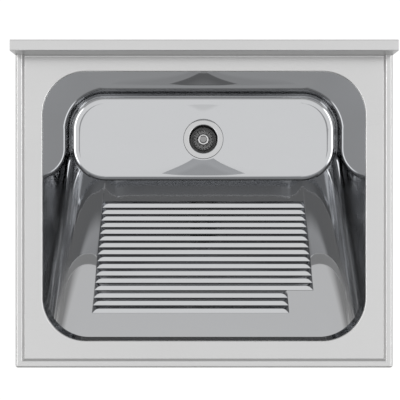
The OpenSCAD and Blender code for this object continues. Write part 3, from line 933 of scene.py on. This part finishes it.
class Graph:
    """Shader nodes under construction."""

    def __init__(self, tree):
        self.tree = tree

    def node(self, kind, settings=None, sockets=None, output=0):
        """Add a node, set it up, fill its sockets and give back one output."""
        made = self.tree.nodes.new(kind)
        for key, value in (settings or {}).items():
            if key == "stops":
                for place, level in value[1:-1]:
                    made.color_ramp.elements.new(place)
                for stop, (place, level) in zip(made.color_ramp.elements, value):
                    stop.position, stop.color = place, (level, level, level, 1)
            else:
                setattr(made, key, value)
        for key, value in (sockets or {}).items():
            self.fill(made.inputs[key], value)
        return Flow(self, made.outputs[output])

    def fill(self, socket, value):
        """Set a socket, or link a flow to it."""
        if isinstance(value, Flow):
            self.tree.links.new(value.socket, socket)
        elif isinstance(value, (tuple, list)) and len(value) == 3 and socket.type == "RGBA":
            socket.default_value = (*value, 1)
        else:
            socket.default_value = value

    def place(self):
        """Where a point lies on the piece."""
        return self.node("ShaderNodeTexCoord", output="Object")

    def noise(self, scale, stretch, detail):
        """Noise over the piece, finer with a larger stretch."""
        moved = self.node("ShaderNodeMapping", None, {"Vector": self.place(), "Scale": stretch})
        return self.node("ShaderNodeTexNoise", None, {"Vector": moved, "Scale": scale, "Detail": detail})

    def mixed(self, amount, dark, light):
        """A colour between two colours."""
        mix = self.tree.nodes.new("ShaderNodeMix")
        mix.data_type = "RGBA"
        self.fill(mix.inputs[MIX_AMOUNT], amount)
        self.fill(mix.inputs[MIX_DARK], dark)
        self.fill(mix.inputs[MIX_LIGHT], light)
        return Flow(self, mix.outputs[MIX_RESULT])

    def part(self, vector, axis):
        """One of a vector's three numbers."""
        return self.node("ShaderNodeSeparateXYZ", None, {0: vector}, axis)

    def fade(self, value, start, end):
        """A soft step from 0 to 1."""
        return self.node("ShaderNodeMapRange", {"interpolation_type": "SMOOTHSTEP"},
                         {"Value": value, "From Min": start, "From Max": end})

    def ramp(self, value, stops):
        """A level that follows a value through stops."""
        return self.node("ShaderNodeValToRGB", {"stops": stops}, {0: value})


print("any node can be added by one method")

# %% [markdown]
# A recipe is the graph of a material. Every finish could look up the shader's sockets for
# itself, but it is shorter to let one method fill them by their names.

# %% Recipes
class Recipe(Graph):
    """A material under construction."""

    def __init__(self, name):
        self.material = bpy.data.materials.new(name)
        self.material.use_nodes = True
        super().__init__(self.material.node_tree)
        self.shader = self.tree.nodes["Principled BSDF"]

    def coat(self, **values):
        """Fill the shader's own sockets, by name with underscores for spaces."""
        for key, value in values.items():
            self.fill(self.shader.inputs[key.replace("_", " ").title()], value)

    def bump(self, height, strength, distance):
        """A normal from a height."""
        values = {"Strength": strength, "Distance": distance, "Height": height}
        return self.node("ShaderNodeBump", None, values)


print("a recipe fills the shader's sockets by name")

# %% [markdown]
# The deck is satin: fine straight grain from side to side, left by an abrasive belt. It could
# be modelled as grooves, but they are finer than a hair, so noise that is drawn out along the
# grain moves the tone, the roughness and the bump together. With an even stretch the grain has
# no direction, as on the basket, the channels and the earth tag, which is left a plain grey.

# %% Satin steel
GRAIN_DETAIL = 4.0
GRAIN_SHARE = 0.5
GRAIN_TONE = 0.035
GRAIN_ROUGH = 0.10
GRAIN_STEP = 0.2 * MM
WEAR_SCALE = 9.0
WEAR_DETAIL = 3.0
WEAR_ROUGH = 0.04
COOL_BLUE = 1.8
BELT_GRAIN = (4, 900, 900)
BELT_DEPTH = 0.02


def tinted(grey, factor, cool=0.0):
    """A steel grey made lighter or darker, and cooler or warmer than neutral."""
    return (grey * factor * (1 - cool), grey * factor, grey * factor * (1 + COOL_BLUE * cool))


def satin_steel(name, grey, rough, grain=BELT_GRAIN, depth=BELT_DEPTH, edge=1.0):
    """Steel with fine grain, which runs along the axis with the smallest stretch."""
    r = Recipe(name)
    lines = r.noise(1.0, grain, GRAIN_DETAIL)
    wear = r.noise(WEAR_SCALE, EVEN, WEAR_DETAIL)
    amount = lines * GRAIN_SHARE + wear * (1 - GRAIN_SHARE)
    tone = r.mixed(amount, tinted(grey, 1 - GRAIN_TONE), tinted(grey, 1 + GRAIN_TONE))
    surface = lines * GRAIN_ROUGH + wear * WEAR_ROUGH + (rough - (GRAIN_ROUGH + WEAR_ROUGH) / 2)
    r.coat(base_color=tone, metallic=1.0, roughness=surface, normal=r.bump(lines, depth, GRAIN_STEP),
           specular_tint=(edge, edge, edge, 1))
    return r.material


deck_finish = satin_steel("satin deck", 0.614, 0.30, edge=0.6)
basket_finish = satin_steel("satin basket", 0.34, 0.60, (300, 300, 300))
channel_finish = satin_steel("galvanised channel", 0.50, 0.45, (60, 60, 60))
brass_finish = satin_steel("tag brass", 0.5, 0.35, (200, 200, 200))
print("satin finishes:", len(bpy.data.materials))

# %% [markdown]
# On the flanks of the bowl beside the washboard the steel is rougher, and shade is painted there
# as a darker grey with long fine painted highlight streaks. They could be a slot of their own, but
# they fade in softly, so the material itself finds them by their place.

# %% Flanks with painted shade and highlights
FLANK_X = 268.0 * MM
FLANK_FADE = 14.0 * MM
FLANK_Y = -20.0 * MM
FLANK_REACH = 55.0 * MM


def flanks(recipe):
    """How far a point lies on the bowl's flanks beside the washboard, where shade is painted, from 0 to 1."""
    place = recipe.place()
    aside = recipe.node("ShaderNodeMath", {"operation": "ABSOLUTE"}, {0: recipe.part(place, "X")})
    ahead = recipe.part(place, "Y") * -1.0
    outside = recipe.fade(aside, FLANK_X, FLANK_X + FLANK_FADE)
    return outside * recipe.fade(ahead, FLANK_Y - FLANK_REACH, FLANK_Y)


print("flanks start at, mm aside:", FLANK_X / MM)

# %% [markdown]
# The bowl and the waste are polished like a mirror. The polish could be one even value, but
# real steel keeps faint wipe marks. Below its mouth the waste is rougher, and a dark grey is
# painted there as the shade inside the cup.

# %% Polished steel
WIPES = (6.0, (1, 2.5, 1.5), 5.0)
WIPE_TONE = 0.015
WIPE_ROUGH = 0.02
FINE = (1.0, (160, 160, 160), 2.0)
FINE_ROUGH = 0.01
# Noise and levels of the painted highlight streaks and the painted shade on the flanks.
HIGHLIGHT_STREAKS = (1.0, (260, 5, 5), 3.0)
HIGHLIGHT_BAND = (0.50, 0.60)
FLANK_HIGHLIGHT = 1.5
FLANK_SHADE = 0.85
# Dark grey of the painted shade inside the waste's cup and of the painted shadow line at the flange's edge.
SHADE_GREY = 0.16
DULL_ROUGH = 0.45
SHADE_FADE = 1.0 * MM


def polished_steel(name, grey, rough, edge=1.0, cool=0.0, shade_below=None, shaded_soft_flanks=0.0):
    """Steel with a mirror polish and faint wipe marks, which may get painted shade and more roughness below a
    height.
    """
    r = Recipe(name)
    wipes = r.noise(*WIPES)
    fine = r.noise(*FINE)
    shine = r.mixed(wipes, tinted(grey, 1 - WIPE_TONE, cool), tinted(grey, 1 + WIPE_TONE, cool))
    surface = wipes * WIPE_ROUGH + fine * FINE_ROUGH + (rough - (WIPE_ROUGH + FINE_ROUGH) / 2)
    # Below the height the colour turns to a dark grey, painted shade, and the steel turns rougher.
    if shade_below is not None:
        polished = r.fade(r.part(r.place(), "Z"), shade_below - SHADE_FADE, shade_below)
        shine = r.mixed(polished, tinted(SHADE_GREY, 1.0), shine)
        surface = polished * (surface - DULL_ROUGH) + DULL_ROUGH
    # On the flanks a darker grey paints shade, brighter streaks paint highlights, and the steel is rougher.
    if shaded_soft_flanks:
        side = flanks(r)
        highlight_streaks = r.fade(r.noise(*HIGHLIGHT_STREAKS), *HIGHLIGHT_BAND)
        painted_shade = r.mixed(highlight_streaks, tinted(grey, FLANK_SHADE, cool), tinted(grey, FLANK_HIGHLIGHT, cool))
        shine = r.mixed(side, shine, painted_shade)
        surface = surface + side * shaded_soft_flanks
    r.coat(base_color=shine, metallic=1.0, roughness=surface, specular_tint=(edge, edge, edge, 1))
    return r.material


print("roughness below the polish:", DULL_ROUGH)

# %% [markdown]
# One finish could serve all, but in the picture each piece has its own brightness. The slots of
# the bowl, the flange's edge and the knob's hollow are the same steel with darker greys, which
# paint shade there, and with less polish.

# %% Polished finishes
MOUTH_DEPTH = 3.0 * MM
# The bowl's flanks get painted shade with painted highlight streaks.
bowl_finish = polished_steel("polished bowl", 0.578, 0.03, edge=0.57, cool=0.012, shaded_soft_flanks=0.20)
# Risers and lip: darker greys as painted shade.
riser_painted_shade = polished_steel("drawn risers", 0.31, 0.10, edge=0.58, cool=0.012)
lip_painted_shade = polished_steel("drawn lip", 0.17, 0.03, edge=0.58, cool=0.012)
# A dark grey at the flange's edge paints the shadow line round it.
flange_shadow_line = polished_steel("painted shadow line at flange", SHADE_GREY, DULL_ROUGH)
# Below its mouth the waste's cup gets painted shade in a dark grey.
waste_finish = polished_steel("polished waste", 0.58, 0.06, cool=0.005, shade_below=top - MOUTH_DEPTH)
knob_finish = polished_steel("polished knob", 0.64, 0.08)
# The knob's hollow: a darker grey as painted shade.
dish_painted_shade = polished_steel("painted shade in knob hollow", 0.30, 0.20)
print("steel finishes:", len(bpy.data.materials))

# %% [markdown]
# Nuts, washers, pads, seals and the pipe are moulded in plastic or rubber. Paint would be one
# even colour, but a moulding shows the fine texture of its mould and a little uneven wear, so
# one recipe with two noises makes them all.

# %% Plastics and rubber
MOULD_DETAIL = 2.0
MOULD_WEAR_SCALE = 25.0
MOULD_TONE = 0.1
MOULD_FLECK = 0.005
MOULD_WEAR = 0.15
MOULD_STEP = 0.3 * MM


def moulded(name, colour, rough, grain=700.0, depth=0.05):
    """Plastic or rubber with a fine moulded texture and slight wear."""
    r = Recipe(name)
    fine = r.noise(grain, EVEN, MOULD_DETAIL)
    wear = r.noise(MOULD_WEAR_SCALE, EVEN, WEAR_DETAIL)
    dark = tuple(c * (1 - MOULD_TONE) for c in colour)
    light = tuple(min(1.0, c * (1 + MOULD_TONE) + MOULD_FLECK) for c in colour)
    r.coat(base_color=r.mixed(wear, dark, light), roughness=wear * MOULD_WEAR + (rough - MOULD_WEAR / 2),
           normal=r.bump(fine, depth, MOULD_STEP))
    return r.material


seal_finish = moulded("seal rubber", (0.035, 0.035, 0.037), 0.65)
pad_finish = moulded("pad rubber", (0.07, 0.07, 0.075), 0.8, 300.0, 0.3)
nut_finish = moulded("nut plastic", (0.11, 0.11, 0.115), 0.5)
washer_finish = moulded("washer plastic", (0.75, 0.74, 0.70), 0.5)
pipe_finish = moulded("pipe plastic", (0.72, 0.72, 0.71), 0.3)
print("all finishes:", len(bpy.data.materials))

# %% [markdown]
# Each dressed piece gets its finish by name. The solids that stay are dressed by the material
# slot that the record gives them, so none can be forgotten.

# %% Dressing the pieces
def dress(piece, finish):
    """Give a piece one material."""
    piece.data.materials.clear()
    piece.data.materials.append(finish)


for piece in (deck, splash, cap, other):
    dress(piece, deck_finish)
dress(basket, basket_finish)
for piece, finishes in ((bowl, (bowl_finish, riser_painted_shade, lip_painted_shade)), (waste, (waste_finish, flange_shadow_line)),
                        (knob, (knob_finish, dish_painted_shade))):
    for slot, finish in enumerate(finishes):
        piece.data.materials[slot] = finish
by_slot = {
    "deck_steel": deck_finish, "bowl_steel": bowl_finish, "channel_steel": channel_finish,
    "pad_rubber": pad_finish, "tag_brass": brass_finish, "waste_steel": waste_finish,
    "seal_rubber": seal_finish, "washer_plastic": washer_finish, "nut_plastic": nut_finish,
    "pipe_plastic": pipe_finish, "basket_steel": basket_finish, "knob_steel": knob_finish}
for row in frame["record"]["subparts"]:
    dress(frame["nodes"][row["node"]], by_slot[row["material_slot"]])

# %% [markdown]
# ## Camera
# The photograph is taken from straight above, at a height of about 1.3 m over the deck, which
# the walls of the bowl tell by how much of them is seen. A camera could be tilted to find the
# frame, but a level one with a shifted lens keeps the deck's edges parallel, as they are there.

# %% Camera
CAMERA_UP = 1317.5 * MM
SENSOR = 36.0
IMAGE = 400
DECK_PIXELS = 378.3
SCALE = 2 * deck_high.x / DECK_PIXELS
CENTRE_X, CENTRE_Y = 204.1, 206.1
AIM_X, AIM_Y = 200.0, 204.0
camera_data = bpy.data.cameras.new("camera")
camera = bpy.data.objects.new("camera", camera_data)
bpy.context.scene.collection.objects.link(camera)
bpy.context.scene.camera = camera
camera.location = ((AIM_X - CENTRE_X) * SCALE, (CENTRE_Y - AIM_Y) * SCALE, deck_high.z + CAMERA_UP)
camera_data.sensor_width = SENSOR
camera_data.lens = SENSOR * CAMERA_UP / SCALE / IMAGE
camera_data.shift_x = -(AIM_X - IMAGE / 2) / IMAGE
camera_data.shift_y = (AIM_Y - IMAGE / 2) / IMAGE
print("lens, mm:", round(camera_data.lens, 1))

# %% [markdown]
# ## Studio
# Polished steel shows nothing but its surroundings, so the studio round it is part of the
# steel's look: a bright ceiling, a long soft light on the left and on the right, a darker wall
# in front of the sink and a paler one behind it. Lamps and real walls could stand there, but
# in the world's sky each wall's level can be set by height alone, and it lights from every side.
# Each list gives the level of the light at a height, from 0 at the horizon to 1 straight up.

# %% Studio light: levels
FRONT_WALL = [
    (0, 0.32), (0.28, 0.30), (0.345, 0.29), (0.37, 0.73), (0.45, 0.58), (0.60, 0.40), (0.675, 0.40),
    (0.69, 0.87), (0.77, 0.87), (0.81, 1.0)]
BACK_WALL = [
    (0, 0.28), (0.30, 0.34), (0.38, 0.76), (0.45, 0.76), (0.60, 0.80), (0.75, 0.88), (0.88, 1.0)]
SIDE_LIGHT = [
    (0, 0.52), (0.50, 0.58), (0.585, 0.62), (0.62, 3.2), (0.76, 3.2), (0.80, 1.03), (0.90, 1.0)]
TOP = 3.5
SIDE_BLEND = (0.64, 0.82)
BACK_BLEND = (-0.4, 0.4)
WARM_BLEND = (0.1, 0.5)
WARM = (1.0, 0.985, 0.965)
WHITE = (1.0, 1.0, 1.0)
ALONG_FLOOR = (1, 1, 0)


def scaled(stops):
    """The same stops with levels that fit a colour ramp."""
    return [(place, level / TOP) for place, level in stops]


print("brightest level:", max(level for place, level in SIDE_LIGHT))

# %% [markdown]
# The three lists are blended by the direction of a ray: to a side or not, and to the front or
# the rear. The light is a little warmer near the horizon. The camera itself sees plain white.

# %% Studio light: the sky
world = bpy.data.worlds.new("studio")
bpy.context.scene.world = world
world.use_nodes = True
world.node_tree.nodes.clear()
sky = Graph(world.node_tree)
look = sky.node("ShaderNodeTexCoord", output="Generated")
height = sky.part(look, "Z")
round_about = sky.node("ShaderNodeVectorMath", {"operation": "MULTIPLY"}, {0: look, 1: ALONG_FLOOR})
round_about = sky.node("ShaderNodeVectorMath", {"operation": "NORMALIZE"}, {0: round_about})
sideways = sky.node("ShaderNodeMath", {"operation": "ABSOLUTE"}, {0: sky.part(round_about, "X")})
to_side = sky.fade(sideways, *SIDE_BLEND)
to_back = sky.fade(sky.part(round_about, "Y"), *BACK_BLEND)
walls = sky.mixed(to_back, sky.ramp(height, scaled(FRONT_WALL)), sky.ramp(height, scaled(BACK_WALL)))
shown = sky.mixed(to_side, walls, sky.ramp(height, scaled(SIDE_LIGHT)))
warmth = sky.mixed(sky.fade(height, *WARM_BLEND), WARM, WHITE)
light = sky.node("ShaderNodeVectorMath", {"operation": "MULTIPLY"}, {0: shown, 1: warmth})
light = sky.node("ShaderNodeVectorMath", {"operation": "SCALE"}, {0: light, "Scale": TOP})
seen = sky.node("ShaderNodeLightPath", output="Is Camera Ray")
back = sky.node("ShaderNodeBackground", None, {"Color": sky.mixed(seen, light, WHITE), "Strength": 1.0})
out = sky.tree.nodes.new("ShaderNodeOutputWorld")
sky.tree.links.new(back.socket, out.inputs["Surface"])
print("studio light nodes:", len(sky.tree.nodes))

# %% [markdown]
# The floor lies where a room's floor would be under a sink at working height.
# It could be plain white paint, but then it would be grey in the picture. So it glows with
# white where the camera, a mirror image or glass shows it, keeps some of its own paint for the
# soft shadow, and lights the sink from below only as paint does. Seen from below it is clear.

# %% Floor
FLOOR_DROP = 0.85
FLOOR_SIZE = 12.0
PAINT = (0.9, 0.9, 0.9)
PAINT_ROUGH = 0.9
GLOW = 1.08
GLOW_PART = 0.8
let_go()
bpy.ops.mesh.primitive_plane_add(size=FLOOR_SIZE, location=(0, 0, -FLOOR_DROP))
ground = named("floor")
pale = Recipe("pale floor")
white = pale.node("ShaderNodeEmission", None, {"Color": WHITE, "Strength": GLOW})
matt = Flow(pale, pale.shader.outputs["BSDF"])
pale.coat(base_color=PAINT, roughness=PAINT_ROUGH)
glow = pale.node("ShaderNodeMixShader", None, {0: GLOW_PART, 1: matt, 2: white})
seen = pale.node("ShaderNodeLightPath", output="Is Camera Ray")
mirrored = pale.node("ShaderNodeLightPath", output="Is Glossy Ray")
through = pale.node("ShaderNodeLightPath", output="Is Transmission Ray")
plain = pale.node("ShaderNodeMixShader", None, {0: seen + mirrored + through, 1: matt, 2: glow})
below = pale.node("ShaderNodeNewGeometry", output="Backfacing")
clear = pale.node("ShaderNodeBsdfTransparent")
both = pale.node("ShaderNodeMixShader", None, {0: below, 1: plain, 2: clear})
pale.tree.links.new(both.socket, pale.tree.nodes["Material Output"].inputs["Surface"])
dress(ground, pale.material)
print("floor lies below the cabinet's top, m:", FLOOR_DROP)

# %% [markdown]
# ## The end
# No dressed piece may reach past its solid. The view is set to show colours as they are
# written.

# %% The end
bpy.context.scene.view_settings.view_transform = "Standard"
